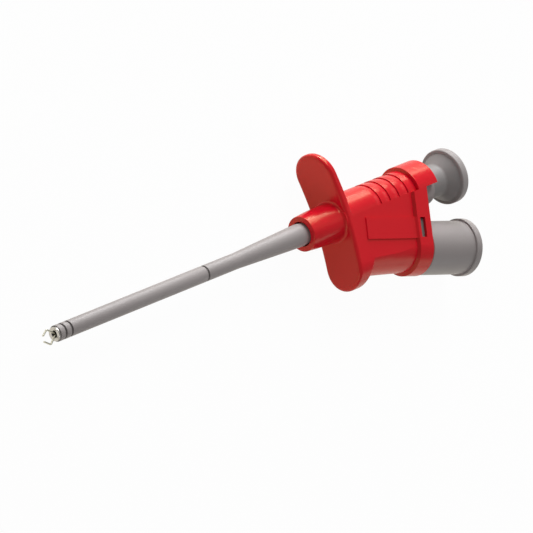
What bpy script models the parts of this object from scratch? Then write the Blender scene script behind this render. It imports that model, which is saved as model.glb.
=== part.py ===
"""Plunger-operated clamp test probe with a long insulated tube, in metres.

The probe lies on its flat flank: +X runs from the jaws to the thumb button, +Y from the
lead socket towards the button, +Z up. The origin is below the middle of the whole probe.
Every piece is worked out along one of two axes. The main axis carries the tube, the push
rod and the button. The socket axis leaves it at SOCKET_TILT, in the same upright plane.
"""

import math

import bmesh
import bpy
from mathutils import Matrix, Vector

MM = 0.001
FIT = 0.30 * MM               # gap between two pieces that touch
SLIDE = 0.15 * MM             # running gap round the push rod
ROUND = 48                    # sides of a large round piece
FINE_ROUND = 24               # sides of a small round piece

# Along the main axis, measured from just ahead of the insulating tube's mouth.
TUBE_RADIUS = 1.80 * MM
TUBE_BORE = 1.40 * MM
TUBE_START = 0.08 * MM
TUBE_CONE_START = 56.6 * MM
TUBE_CONE_END = 76.6 * MM
TUBE_CONE_RADIUS = 2.60 * MM
TUBE_SHANK_RADIUS = 2.42 * MM
GROOVE_ENDS = (1.95 * MM, 3.86 * MM)
GROOVE_WIDTH = 0.60 * MM
GROOVE_DEPTH = 0.24 * MM
BAND_GROOVE = 46.65 * MM      # single ring groove further along the tube

FERRULE_FACE = -0.42 * MM
FERRULE_RADIUS = 1.80 * MM
FERRULE_HEAD = 0.20 * MM
FERRULE_HOLE = 0.75 * MM
FERRULE_END = 4.60 * MM

JAW_THICKNESS = 0.28 * MM
JAW_WIDTH = 0.46 * MM
JAW_SPACING = 0.22 * MM       # centre of each wire from the axis, inside the tip
JAW_ELBOW = (2.05 * MM, 1.60 * MM)
JAW_HOOK = (3.85 * MM, 0.62 * MM)
JAW_ROOT = 5.30 * MM
CRIMP_RADIUS = 0.50 * MM
CRIMP_LENGTH = 3.40 * MM
ROD_RADIUS = 0.30 * MM
INNER_TUBE_RADIUS = 1.10 * MM
INNER_TUBE_BORE = 0.70 * MM

NOSE_START = 78.1 * MM
NOSE_RADIUS = 3.96 * MM
NOSE_ROOT_RADIUS = 4.47 * MM
NOSE_FILLET = 0.70 * MM
GUARD_FACE = 87.9 * MM        # front of the finger guard on the axis
GUARD_DISH = 8.3              # how fast the guard leans forward, per metre
GUARD_HALF_HEIGHT = 15.87 * MM
GUARD_THICKNESS = 1.80 * MM
GUARD_HEEL = 89.25 * MM       # back of the guard's lower end
HEEL_SLOPE = 0.56             # how fast the guard's back runs down to its heel
GUARD_EDGE = 0.85 * MM
BODY_HALF_WIDTH = 5.35 * MM
GUARD_HALF_WIDTH = BODY_HALF_WIDTH + 0.05 * MM
CAP_START = 111.05 * MM
CAP_END = 117.47 * MM
CAP_RADIUS = BODY_HALF_WIDTH + 0.85 * MM
CAP_FLOOR = 0.12 * MM
STEP_SLOPE = 0.45 * MM        # how far the front step of cap and strap leans
CHAMBER_START = GUARD_FACE + 1.1 * MM
CHAMBER_RADIUS = 4.00 * MM
TUBE_FLANGE = 2.00 * MM
BUSH_LENGTH = 5.30 * MM
SPRING_ROOM_START = CHAMBER_START + TUBE_FLANGE + BUSH_LENGTH + 3 * FIT
SPRING_ROOM_RADIUS = CHAMBER_RADIUS + 0.50 * MM
RIDGE_ENDS = (99.5 * MM, 102.5 * MM, 105.5 * MM, 108.5 * MM)
RIDGE_LENGTH = 1.50 * MM
RIDGE_DEPTH = 0.22 * MM

WASHER_THICKNESS = 0.60 * MM
SPRING_WIRE = 0.25 * MM
SPRING_RADIUS = SPRING_ROOM_RADIUS - 1.60 * MM
SPRING_TURNS = 7
STROKE = 5.0 * MM             # how far the thumb button goes in
GUIDE_RADIUS = 4.38 * MM
GUIDE_START = 111.3 * MM
GUIDE_END = 118.0 * MM
STEM_RADIUS = GUIDE_RADIUS - 0.75 * MM
STEM_START = GUIDE_START - 2.6 * MM
STEM_BORE = 2.00 * MM
STEM_BORE_END = 118.5 * MM
STOP_THICKNESS = 0.80 * MM
STOP_RADIUS = SPRING_ROOM_RADIUS - FIT
FLARE_START = GUIDE_END + STROKE + 0.2 * MM
BUTTON_START = FLARE_START + 2.38 * MM
BUTTON_END = BUTTON_START + 1.82 * MM
BUTTON_RADIUS = 6.30 * MM
BUTTON_LIP = 5.45 * MM
BUTTON_DOME = 0.60 * MM

# Along the socket axis, measured from the point where it passes SOCKET_STATION.
SOCKET_TILT = math.radians(15.0)
SOCKET_STATION = 100.0 * MM
SOCKET_DROP = 9.58 * MM
SLEEVE_RADIUS = BODY_HALF_WIDTH + 0.29 * MM
SLEEVE_TAPER = 0.047
STRAP_START = 6.80 * MM
STRAP_END = 10.75 * MM
STRAP_HALF_WIDTH = CAP_RADIUS
POCKET_START = 6.60 * MM
POCKET_RADIUS = STRAP_HALF_WIDTH - 0.60 * MM
POCKET_HALF_WIDTH = STRAP_HALF_WIDTH - 1.20 * MM
POCKET_TOP = 9.80 * MM
LOWER_BORE = 4.30 * MM
LOWER_BORE_START = -6.50 * MM
WINDOW_T = (7.42 * MM, 8.93 * MM)
WINDOW_V = (1.63 * MM, 6.05 * MM)
PLATE_T = (-8.90 * MM, 5.60 * MM)
PLATE_V = (1.43 * MM, 6.20 * MM)
PLATE_HEIGHT = 0.30 * MM
BARREL_RADIUS = 6.00 * MM
BARREL_BORE = 4.60 * MM
BARREL_FLOOR = 7.30 * MM
COLLAR_END = 25.94 * MM
COLLAR_START = COLLAR_END - 1.77 * MM
COLLAR_RADIUS = BARREL_RADIUS + 0.46 * MM
CONTACT_RADIUS = 2.50 * MM
CONTACT_BORE = 2.02 * MM
CONTACT_FRONT = -1.10 * MM
CONTACT_END = COLLAR_END - 1.64 * MM
CONTACT_SHOULDER = 3.20 * MM
SLEEVE_WALL = 0.50 * MM
SLEEVE_END = COLLAR_END - 0.94 * MM
CLIP_THICKNESS = 0.50 * MM
LEAF_THICKNESS = 0.30 * MM
LEAF_WIDTH = 2.40 * MM

COS_TILT = math.cos(SOCKET_TILT)
SIN_TILT = math.sin(SOCKET_TILT)
SIDE_X = Matrix.Rotation(math.radians(90.0), 3, "X")


def to_main(t, v):
    """Side-view point on the socket axis's ruler, as a main-axis x and y."""
    x = SOCKET_STATION + t * COS_TILT + v * SIN_TILT
    y = -SOCKET_DROP - t * SIN_TILT + v * COS_TILT
    return x, y


# The resting height and the middle of the probe fix the two axes in the part's frame.
LOWEST = max(COLLAR_RADIUS, STRAP_HALF_WIDTH)
LEFT_END = -JAW_HOOK[0] - 0.5 * JAW_THICKNESS
RIGHT_END = BUTTON_END + BUTTON_DOME
TOP_SIDE = GUARD_HALF_HEIGHT
LOW_SIDE = to_main(COLLAR_END, -COLLAR_RADIUS)[1]


def clear_scene():
    for thing in list(bpy.data.objects):
        bpy.data.objects.remove(thing)


def material(name, colour, roughness, metallic=0.0):
    """A Principled material with one colour."""
    made = bpy.data.materials.new(name)
    made.use_nodes = True
    shader = made.node_tree.nodes["Principled BSDF"]
    shader.inputs["Base Color"].default_value = (*colour, 1.0)
    shader.inputs["Roughness"].default_value = roughness
    shader.inputs["Metallic"].default_value = metallic
    return made


def axis_empty(name, parent=None, location=(0, 0, 0), turn=0.0):
    empty = bpy.data.objects.new(name, None)
    bpy.context.collection.objects.link(empty)
    empty.parent = parent
    empty.location = location
    empty.rotation_euler = (0, 0, turn)
    return empty


def add_object(name, bm, finish, parent, at=(0, 0, 0)):
    """Turn a bmesh into a named object whose origin is at a place on its parent."""
    bmesh.ops.translate(bm, verts=bm.verts, vec=-Vector(at))
    bmesh.ops.recalc_face_normals(bm, faces=bm.faces)
    mesh = bpy.data.meshes.new(name)
    bm.to_mesh(mesh)
    bm.free()
    mesh.shade_smooth()
    mesh.set_sharp_from_angle(angle=math.radians(35))
    thing = bpy.data.objects.new(name, mesh)
    bpy.context.collection.objects.link(thing)
    thing.parent = parent
    thing.location = at
    if finish is not None:
        mesh.materials.append(finish)
    return thing


def turned(outline, sides=ROUND):
    """Spin a closed (x, radius) outline about the x axis."""
    bm = bmesh.new()
    step = math.tau / sides
    rows = []
    for x, radius in outline:
        turns = range(sides) if radius > 0 else range(1)
        rows.append([bm.verts.new((x, radius * math.sin(k * step), radius * math.cos(k * step)))
                     for k in turns])
    for first, second in zip(rows, rows[1:] + rows[:1]):
        for k in range(sides):
            j = (k + 1) % sides
            corners = [first[k % len(first)], first[j % len(first)],
                       second[j % len(second)], second[k % len(second)]]
            corners = list(dict.fromkeys(corners))
            if len(corners) > 2:
                bm.faces.new(corners)
    return bm


def prism(outline, low, high, upright=False):
    """Extrude a closed (x, y) outline from z low to high, or (x, z) along y when upright."""
    bm = bmesh.new()
    bottom = [bm.verts.new((a, b, low)) for a, b in outline]
    face = bm.faces.new(bottom)
    grown = bmesh.ops.extrude_face_region(bm, geom=[face])["geom"]
    lifted = [item for item in grown if isinstance(item, bmesh.types.BMVert)]
    bmesh.ops.translate(bm, verts=lifted, vec=(0, 0, high - low))
    if upright:
        bmesh.ops.rotate(bm, verts=bm.verts, cent=(0, 0, 0), matrix=SIDE_X)
        bmesh.ops.scale(bm, verts=bm.verts, vec=(1, -1, 1))
    return bm


def rings(loops):
    """Skin a list of equal vertex loops and close both ends across matching points."""
    bm = bmesh.new()
    rows = [[bm.verts.new(point) for point in loop] for loop in loops]
    count = len(rows[0])
    for first, second in zip(rows, rows[1:]):
        for i in range(count):
            j = (i + 1) % count
            bm.faces.new((first[i], first[j], second[j], second[i]))
    for row in (rows[0], rows[-1]):
        for i in range(count // 2 - 1):
            quad = (row[i], row[i + 1], row[count - 2 - i], row[count - 1 - i])
            bm.faces.new(quad)
    bmesh.ops.remove_doubles(bm, verts=bm.verts, dist=1e-7)
    return bm


def box(low, high):
    bm = bmesh.new()
    bmesh.ops.create_cube(bm, size=1.0)
    size = [b - a for a, b in zip(low, high)]
    middle = [(a + b) / 2 for a, b in zip(low, high)]
    bmesh.ops.scale(bm, verts=bm.verts, vec=size)
    bmesh.ops.translate(bm, verts=bm.verts, vec=middle)
    return bm


def tool(name, bm, parent):
    """A hidden shape that only adds to or cuts another."""
    thing = add_object(name, bm, None, parent)
    thing.hide_render = True
    thing.display_type = "WIRE"
    return thing


def boolean(target, other, operation):
    step = target.modifiers.new(f"{operation.lower()}_{other.name}", "BOOLEAN")
    step.operation = operation
    step.object = other


def add(target, name, bm, parent):
    boolean(target, tool(name, bm, parent), "UNION")


def cut(target, name, bm, parent):
    boolean(target, tool(name, bm, parent), "DIFFERENCE")


def strip(route, thickness, low, high):
    """A bent flat strip: its centre line in x and y, its width from z low to high."""
    left, right = [], []
    for i, (x, y) in enumerate(route):
        before = Vector(route[max(i - 1, 0)])
        after = Vector(route[min(i + 1, len(route) - 1)])
        here = Vector((x, y))
        into = (here - before).normalized() if i else (after - here).normalized()
        out = (after - here).normalized() if i < len(route) - 1 else into
        across = Vector((-(into + out).y, (into + out).x)).normalized()
        reach = 0.5 * thickness / max(across.dot(Vector((-into.y, into.x))), 0.4)
        left.append(here + across * reach)
        right.append(here - across * reach)
    return prism([tuple(p) for p in left + right[::-1]], low, high)


def guard_front(y):
    return GUARD_FACE - GUARD_DISH * y * y


def guard_back(y):
    upper = guard_front(y) + GUARD_THICKNESS
    lower = GUARD_HEEL + HEEL_SLOPE * (y + GUARD_HALF_HEIGHT)
    share = min(max(-y / BODY_HALF_WIDTH, 0.0), 1.0)
    return upper + (lower - upper) * share


def oval(inset, quarter=10, levels=8):
    """The guard's outline in y and z, drawn in by inset, as matching left and right rows."""
    radius = GUARD_HALF_WIDTH - inset
    centre = GUARD_HALF_HEIGHT - GUARD_HALF_WIDTH
    right = []
    for i in range(quarter + 1):
        turn = math.pi / 2 * i / quarter
        right.append((centre + radius * math.cos(turn), max(radius * math.sin(turn), 0.02 * MM)))
    for i in range(1, levels):
        right.append((centre - 2 * centre * i / levels, radius))
    for i in range(quarter + 1):
        turn = math.pi / 2 * i / quarter
        right.append((-centre - radius * math.sin(turn), max(radius * math.cos(turn), 0.02 * MM)))
    return right + [(y, -z) for y, z in reversed(right)]


def guard():
    """The finger guard: an upright oval plate, dished towards the tip, front edge rounded."""
    loops = []
    for angle in (0, 30, 60, 90):
        turn = math.radians(angle)
        inset = GUARD_EDGE * (1 - math.sin(turn))
        back = GUARD_EDGE * (1 - math.cos(turn))
        loops.append([(guard_front(y) + back, y, z) for y, z in oval(inset)])
    loops.append([(guard_back(y), y, z) for y, z in oval(0.0)])
    return rings(loops)


def sleeve_radius(t):
    return max(SLEEVE_RADIUS - SLEEVE_TAPER * t, BODY_HALF_WIDTH + 0.02 * MM)


def trunk_stations():
    """Places along the trunk with the depth of the grip ridges there."""
    stations = [(GUARD_FACE + 0.6 * MM, 0.0), (93.0 * MM, 0.0)]
    for end in RIDGE_ENDS:
        stations += [(end - RIDGE_LENGTH, 0.0), (end, RIDGE_DEPTH), (end, 0.0)]
    return stations + [(CAP_START + 1.5 * MM, 0.0), (CAP_END, 0.0)]


def trunk(arc=16):
    """The middle of the housing: a half-round back on flat flanks, closed below by the sleeve."""
    loops = []
    for x, depth in trunk_stations():
        t = (x - SOCKET_STATION) / COS_TILT
        middle = -SOCKET_DROP - math.tan(SOCKET_TILT) * (x - SOCKET_STATION)
        radius = sleeve_radius(t)
        back = BODY_HALF_WIDTH - depth
        right = []
        for i in range(arc + 1):
            turn = (math.pi / 2 - 0.04) * i / arc
            right.append((back * math.cos(turn), max(back * math.sin(turn), 0.02 * MM)))
        turn = math.pi / 2 - 0.036
        right.append((BODY_HALF_WIDTH * math.cos(turn), BODY_HALF_WIDTH * math.sin(turn)))
        right.append((0.0, BODY_HALF_WIDTH))
        for i in range(arc + 1):
            z = BODY_HALF_WIDTH * math.cos(math.pi / 2 * i / arc)
            y = middle - math.sqrt(radius * radius - z * z) / COS_TILT
            right.append((y, max(z, 0.02 * MM)))
        loops.append([(x, y, z) for y, z in right + [(y, -z) for y, z in reversed(right)]])
    return rings(loops)


def strap(arc=20):
    """The band round the socket: a half-round below, flat flanks above, leaning front step."""
    top = to_strap_top()
    loops = []
    step = STRAP_HALF_WIDTH - BODY_HALF_WIDTH
    for t, inset in ((STRAP_START - STEP_SLOPE, step), (STRAP_START, 0.0),
                     (STRAP_END - 0.15 * MM, 0.0), (STRAP_END, 0.15 * MM)):
        radius = STRAP_HALF_WIDTH - inset
        right = [(top, radius)]
        for i in range(arc + 1):
            turn = math.pi / 2 * i / arc
            right.append((-radius * math.sin(turn), max(radius * math.cos(turn), 0.02 * MM)))
        loops.append([(t, v, z) for v, z in right + [(v, -z) for v, z in reversed(right)]])
    return rings(loops)


def to_strap_top():
    return (SOCKET_DROP + STRAP_END * SIN_TILT) / COS_TILT + 1.0 * MM


def housing(finish, main, socket):
    """One red moulding: nose, finger guard, trunk, strap and cap, hollow inside."""
    front = [(NOSE_START, 0), (NOSE_START, NOSE_RADIUS - 0.2 * MM),
             (NOSE_START + 0.2 * MM, NOSE_RADIUS)]
    root = GUARD_FACE - NOSE_FILLET
    for i in range(5):
        turn = math.pi / 2 * i / 4
        front.append((root + NOSE_FILLET * math.sin(turn),
                      NOSE_ROOT_RADIUS + NOSE_FILLET * (1 - math.cos(turn))))
    back = GUARD_FACE + 1.0 * MM
    front += [(back, NOSE_ROOT_RADIUS + NOSE_FILLET), (back, 0)]
    shell = add_object("housing", turned(front), finish, main)
    add(shell, "guard_shape", guard(), main)

    trunk_shape = tool("trunk_shape", trunk(), main)
    limit = 40 * MM
    cut(trunk_shape, "trunk_end",
        box((STRAP_END - 1.2 * MM, -limit, -limit), (limit, limit, limit)), socket)
    boolean(shell, trunk_shape, "UNION")

    strap_shape = tool("strap_shape", strap(), socket)
    cut(strap_shape, "strap_top",
        box((0, CAP_FLOOR, -limit), (CAP_END + limit, limit, limit)), main)
    boolean(shell, strap_shape, "UNION")

    cap_outline = [(CAP_START - STEP_SLOPE, 0), (CAP_START - STEP_SLOPE, BODY_HALF_WIDTH),
                   (CAP_START, CAP_RADIUS), (CAP_END - 0.15 * MM, CAP_RADIUS),
                   (CAP_END, CAP_RADIUS - 0.15 * MM), (CAP_END, 0)]
    cap_shape = tool("cap_shape", turned(cap_outline), main)
    cut(cap_shape, "cap_under",
        box((0, -limit, -limit), (CAP_END + limit, CAP_FLOOR, limit)), main)
    boolean(shell, cap_shape, "UNION")

    for side in (-1, 1):
        low = BODY_HALF_WIDTH - 0.4 * MM
        face = BODY_HALF_WIDTH + PLATE_HEIGHT
        end = STRAP_START + 0.5 * MM
        outline = [(PLATE_T[0], low), (PLATE_T[0], face - 0.1 * MM),
                   (PLATE_T[0] + 0.1 * MM, face), (PLATE_T[1], face),
                   (end, STRAP_HALF_WIDTH - 0.01 * MM), (end, low)]
        flank = [(t, side * z) for t, z in outline]
        add(shell, f"plate_shape_{side}", prism(flank, *PLATE_V, upright=True), socket)

    outside = STRAP_HALF_WIDTH + 1 * MM
    cut(shell, "latch_windows",
        box((WINDOW_T[0], WINDOW_V[0], -outside), (WINDOW_T[1], WINDOW_V[1], outside)), socket)

    hollow = [(NOSE_START - 1 * MM, 0), (NOSE_START - 1 * MM, TUBE_SHANK_RADIUS + FIT),
              (CHAMBER_START, TUBE_SHANK_RADIUS + FIT), (CHAMBER_START, CHAMBER_RADIUS),
              (SPRING_ROOM_START, CHAMBER_RADIUS), (SPRING_ROOM_START, SPRING_ROOM_RADIUS),
              (GUIDE_START - FIT, SPRING_ROOM_RADIUS), (GUIDE_START - FIT, GUIDE_RADIUS + FIT),
              (CAP_END + 1 * MM, GUIDE_RADIUS + FIT), (CAP_END + 1 * MM, 0)]
    cut(shell, "main_hollow", turned(hollow), main)
    lower = [(LOWER_BORE_START, 0), (LOWER_BORE_START, LOWER_BORE), (POCKET_START, LOWER_BORE),
             (POCKET_START, POCKET_RADIUS), (STRAP_END + 1 * MM, POCKET_RADIUS),
             (STRAP_END + 1 * MM, 0)]
    cut(shell, "socket_hollow", turned(lower), socket)
    cut(shell, "web_pocket",
        box((POCKET_START, 0, -POCKET_HALF_WIDTH),
            (STRAP_END + 1 * MM, POCKET_TOP, POCKET_HALF_WIDTH)), socket)
    reach = 2.0 * MM
    middle = leaf_station()
    slot_half = LEAF_WIDTH / 2 + FIT
    cut(shell, "leaf_slot",
        box((middle - reach, -SOCKET_DROP + 1.5 * MM, -slot_half),
            (middle + reach, -CHAMBER_RADIUS + 1 * MM, slot_half)), main)
    return shell


def leaf_station():
    """Where along the main axis the contact leaf reaches the bush."""
    return CHAMBER_START + FIT + TUBE_FLANGE + FIT + BUSH_LENGTH * 0.62


def insulating_tube(finish, main):
    """Long grey tube with a cone into the nose and a flange behind the housing's shoulder."""
    outer = [(TUBE_START, TUBE_RADIUS - 0.15 * MM), (TUBE_START + 0.15 * MM, TUBE_RADIUS)]
    for end in (*GROOVE_ENDS, BAND_GROOVE):
        outer += [(end - GROOVE_WIDTH, TUBE_RADIUS), (end - GROOVE_WIDTH, TUBE_RADIUS - GROOVE_DEPTH),
                  (end, TUBE_RADIUS - GROOVE_DEPTH), (end, TUBE_RADIUS)]
    shoulder = TUBE_CONE_RADIUS - TUBE_SHANK_RADIUS
    flange = CHAMBER_START + FIT
    outer += [(TUBE_CONE_START, TUBE_RADIUS), (TUBE_CONE_END, TUBE_CONE_RADIUS),
              (TUBE_CONE_END + 2 * shoulder, TUBE_SHANK_RADIUS), (flange, TUBE_SHANK_RADIUS),
              (flange, CHAMBER_RADIUS - FIT), (flange + TUBE_FLANGE, CHAMBER_RADIUS - FIT),
              (flange + TUBE_FLANGE, TUBE_BORE), (TUBE_START, TUBE_BORE)]
    return add_object("insulating_tube", turned(outer, 32), finish, main)


def tip_pieces(steel, main):
    """Ferrule in the tube's mouth, and the steel liner that leads the rod."""
    rim = FERRULE_FACE + FERRULE_HEAD
    mouth = [(FERRULE_FACE, FERRULE_HOLE), (FERRULE_FACE, FERRULE_RADIUS - 0.3 * MM),
             (FERRULE_FACE + 0.12 * MM, FERRULE_RADIUS), (rim, FERRULE_RADIUS),
             (rim, TUBE_BORE - FIT),
             (FERRULE_END, TUBE_BORE - FIT), (FERRULE_END, FERRULE_HOLE)]
    add_object("tip_ferrule", turned(mouth, FINE_ROUND), steel, main)
    start = FERRULE_END + FIT
    end = CHAMBER_START + TUBE_FLANGE
    liner = [(start, INNER_TUBE_BORE), (start, INNER_TUBE_RADIUS), (end, INNER_TUBE_RADIUS),
             (end, INNER_TUBE_BORE)]
    add_object("inner_tube", turned(liner, FINE_ROUND), steel, main)


def jaws(steel, plunger, pivot):
    """Two bent spring-steel jaws, mirror images, hinged where the crimp holds them."""
    for name, side in (("jaw_upper", 1), ("jaw_lower", -1)):
        route = [(JAW_ROOT, side * JAW_SPACING), (-0.20 * MM, side * JAW_SPACING),
                 (-JAW_ELBOW[0] + 0.15 * MM, side * (JAW_ELBOW[1] - 0.06 * MM)),
                 (-JAW_ELBOW[0] - 0.1 * MM, side * (JAW_ELBOW[1] - 0.05 * MM)),
                 (-JAW_HOOK[0], side * JAW_HOOK[1])]
        joint = (pivot, side * JAW_SPACING, 0)
        add_object(name, strip(route, JAW_THICKNESS, -JAW_WIDTH / 2, JAW_WIDTH / 2),
                   steel, plunger, joint)


def rod_pieces(steel, brass, plunger):
    """Jaw crimp, push rod, and the brass insert that anchors the rod in the button."""
    start = JAW_ROOT + FIT
    bottom = start + 1.0 * MM
    end = start + CRIMP_LENGTH
    bore = ROD_RADIUS + SLIDE
    crimp = [(start, 0), (start, CRIMP_RADIUS), (end, CRIMP_RADIUS), (end, bore),
             (bottom, bore), (bottom, 0)]
    add_object("jaw_crimp", turned(crimp, 16), brass, plunger)
    rod_end = STEM_BORE_END - 1.2 * MM
    rod = [(bottom + FIT, 0), (bottom + FIT, ROD_RADIUS), (rod_end, ROD_RADIUS), (rod_end, 0)]
    add_object("push_rod", turned(rod, 16), steel, plunger)
    radius = STEM_BORE - FIT
    insert = [(STEM_START + 0.6 * MM, bore), (STEM_START + 0.6 * MM, radius),
              (STEM_BORE_END - FIT, radius), (STEM_BORE_END - FIT, 0),
              (rod_end + FIT, 0), (rod_end + FIT, bore)]
    add_object("rod_insert", turned(insert, FINE_ROUND), brass, plunger)


def button(grey, steel, plunger):
    """Thumb button: a stem with a blind bore, a flared neck and a round disc."""
    stop_start = GUIDE_START - FIT - STOP_THICKNESS
    groove = STEM_RADIUS - 0.7 * MM
    outline = [(STEM_START, STEM_BORE), (STEM_START, STEM_RADIUS),
               (stop_start - FIT, STEM_RADIUS), (stop_start - FIT, groove),
               (stop_start + STOP_THICKNESS + FIT, groove),
               (stop_start + STOP_THICKNESS + FIT, STEM_RADIUS), (FLARE_START, STEM_RADIUS)]
    depth = BUTTON_START - FLARE_START
    width = BUTTON_LIP - STEM_RADIUS
    for i in range(1, 7):
        turn = math.pi / 2 * i / 6
        bend = 0.35
        share = i / 6
        x = FLARE_START + depth * ((1 - bend) * share + bend * math.sin(turn))
        radius = STEM_RADIUS + width * ((1 - bend) * share + bend * (1 - math.cos(turn)))
        outline.append((x, radius))
    edge = 0.3 * MM
    outline += [(BUTTON_START, BUTTON_RADIUS - edge), (BUTTON_START + edge, BUTTON_RADIUS),
                (BUTTON_END - edge, BUTTON_RADIUS), (BUTTON_END, BUTTON_RADIUS - edge)]
    for i in range(1, 6):
        share = i / 5
        radius = (BUTTON_RADIUS - edge) * (1 - share)
        outline.append((BUTTON_END + BUTTON_DOME * (1 - (1 - share) ** 2), radius))
    outline += [(STEM_BORE_END, 0), (STEM_BORE_END, STEM_BORE)]
    add_object("thumb_button", turned(outline), grey, plunger)
    ring = [(stop_start, groove + FIT), (stop_start, STOP_RADIUS),
            (stop_start + STOP_THICKNESS, STOP_RADIUS), (stop_start + STOP_THICKNESS, groove + FIT)]
    add_object("stop_ring", turned(ring, 32), steel, plunger)


def spring_pieces(steel, brass, main):
    """Contact bush behind the tube, the spring's seat, and the return spring."""
    start = CHAMBER_START + FIT + TUBE_FLANGE + FIT
    end = start + BUSH_LENGTH
    bore = ROD_RADIUS + SLIDE
    bush = [(start, bore), (start, CHAMBER_RADIUS - FIT), (end, CHAMBER_RADIUS - FIT), (end, bore)]
    add_object("contact_bush", turned(bush, 32), brass, main)
    seat = SPRING_ROOM_START + FIT
    washer = [(seat, ROD_RADIUS + FIT), (seat, SPRING_ROOM_RADIUS - FIT),
              (seat + WASHER_THICKNESS, SPRING_ROOM_RADIUS - FIT),
              (seat + WASHER_THICKNESS, ROD_RADIUS + FIT)]
    add_object("spring_washer", turned(washer, 32), steel, main)

    first = seat + WASHER_THICKNESS + FIT + SPRING_WIRE
    last = STEM_START - FIT - SPRING_WIRE
    curve = bpy.data.curves.new("return_spring", "CURVE")
    curve.dimensions = "3D"
    curve.bevel_depth = SPRING_WIRE
    curve.bevel_resolution = 1
    curve.render_resolution_u = 0
    curve.use_fill_caps = True
    per_turn = 14
    count = SPRING_TURNS * per_turn
    coil = curve.splines.new("POLY")
    coil.points.add(count)
    for i, point in enumerate(coil.points):
        turn = math.tau * i / per_turn
        point.co = (first + (last - first) * i / count, SPRING_RADIUS * math.cos(turn),
                    SPRING_RADIUS * math.sin(turn), 1.0)
    spring = bpy.data.objects.new("return_spring", curve)
    bpy.context.collection.objects.link(spring)
    spring.parent = main
    curve.materials.append(steel)
    pitch = (last - first) / SPRING_TURNS
    print(f"least gap between the spring's turns: {(pitch - 2 * SPRING_WIRE) / MM:.2f} mm")


def socket_insert(grey, main, socket):
    """Grey moulding behind the strap: socket barrel, latching web and the stem's guide."""
    spigot = POCKET_RADIUS - FIT
    nose = LOWER_BORE - FIT
    start = 0.5 * MM
    rim = 0.15 * MM
    outline = [(start, 0), (start, nose), (POCKET_START + FIT, nose),
               (POCKET_START + FIT, spigot), (STRAP_END + FIT, spigot),
               (STRAP_END + FIT, BARREL_RADIUS), (COLLAR_START, BARREL_RADIUS),
               (COLLAR_START, COLLAR_RADIUS - rim), (COLLAR_START + rim, COLLAR_RADIUS),
               (COLLAR_END - rim, COLLAR_RADIUS), (COLLAR_END, COLLAR_RADIUS - rim),
               (COLLAR_END, 0)]
    body = add_object("socket_insert", turned(outline), grey, socket)
    half = POCKET_HALF_WIDTH - FIT
    add(body, "web_shape",
        box((POCKET_START + FIT, 0, -half), (STRAP_END - FIT, POCKET_TOP - FIT, half)), socket)
    ahead = GUIDE_START - 0.5 * MM
    guide = [(ahead, 0), (ahead, GUIDE_RADIUS), (GUIDE_END - rim, GUIDE_RADIUS),
             (GUIDE_END, GUIDE_RADIUS - rim), (GUIDE_END, 0)]
    add(body, "guide_shape", turned(guide), main)
    inset = 0.2 * MM
    reach = BODY_HALF_WIDTH + FIT
    add(body, "latch_shape",
        box((WINDOW_T[0] + inset, WINDOW_V[0] + inset, -reach),
            (WINDOW_T[1] - inset, WINDOW_V[1] - inset, reach)), socket)
    trim = max(SPRING_ROOM_RADIUS, GUIDE_RADIUS + FIT)
    room = [(GUIDE_START - 10 * MM, 0), (GUIDE_START - 10 * MM, trim),
            (GUIDE_START, trim), (GUIDE_START, STEM_RADIUS + FIT),
            (GUIDE_END + 1 * MM, STEM_RADIUS + FIT), (GUIDE_END + 1 * MM, 0)]
    cut(body, "stem_room", turned(room), main)
    bore = CONTACT_RADIUS + FIT
    well = [(start - 1 * MM, 0), (start - 1 * MM, bore), (BARREL_FLOOR, bore),
            (BARREL_FLOOR, BARREL_BORE), (COLLAR_END + 1 * MM, BARREL_BORE),
            (COLLAR_END + 1 * MM, 0)]
    cut(body, "socket_well", turned(well), socket)


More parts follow.
